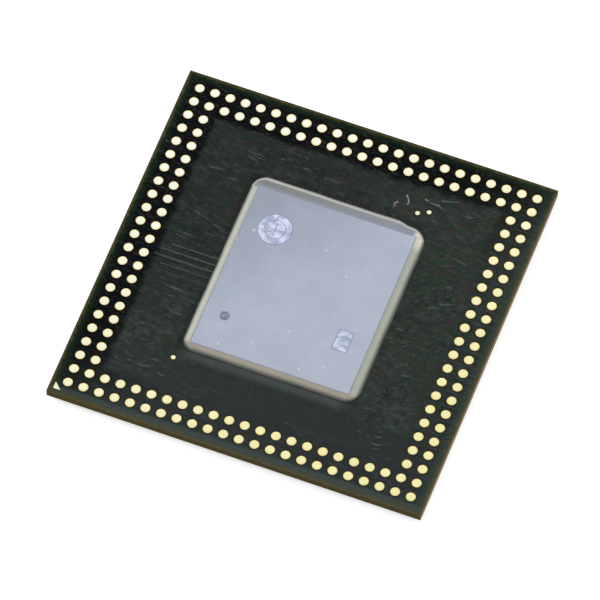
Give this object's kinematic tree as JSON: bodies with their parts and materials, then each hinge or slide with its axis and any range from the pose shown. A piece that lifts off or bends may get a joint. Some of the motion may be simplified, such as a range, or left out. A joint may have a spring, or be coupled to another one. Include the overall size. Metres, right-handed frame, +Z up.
{
  "type": "ball grid array chip",
  "caption": "Square stackable chip: bare silicon die on a thin laminate board, with gold lands around it on top and solder balls below.",
  "frame": {"origin": "middle of the seating plane, at the tips of the solder balls", "axes": "+Z up through the die; X and Y along the board's sides; ball A1 and the gold corner mark lie at the -X, -Y corner"},
  "size_m": [0.012, 0.012, 0.0007],
  "materials": {
    "solder_mask": "satin dark green-black solder mask",
    "copper": "plain copper, plated",
    "build_up_resin": "resin and fine glass cloth",
    "core_laminate": "glass-cloth laminate, sawn edge",
    "gold_finish": "thin gold over nickel",
    "solder": "reflowed lead-free solder",
    "silicon": "ground back side, softly reflecting",
    "underfill_resin": "filled epoxy, satin"
  },
  "bodies": {
    "root": {"bottom_solder_mask": "solder_mask", "bottom_copper": "copper", "bottom_microvias": "copper", "bottom_prepreg": "build_up_resin", "power_plane": "copper", "core_laminate": "core_laminate", "core_vias": "copper", "ground_plane": "copper", "top_prepreg": "build_up_resin", "top_microvias": "copper", "top_copper": "copper", "top_solder_mask": "solder_mask", "outer_lands": "gold_finish", "inner_lands": "gold_finish", "probe_pads": "gold_finish", "corner_mark": "gold_finish", "flip_chip_bumps": "solder", "silicon_die": "silicon", "underfill": "underfill_resin", "outer_balls_row_1": "solder", "outer_balls_row_2": "solder", "outer_balls_row_3": "solder", "outer_balls_row_4": "solder", "core_balls_row_1": "solder", "core_balls_row_2": "solder", "core_balls_row_3": "solder"}
  },
  "joints": []
}
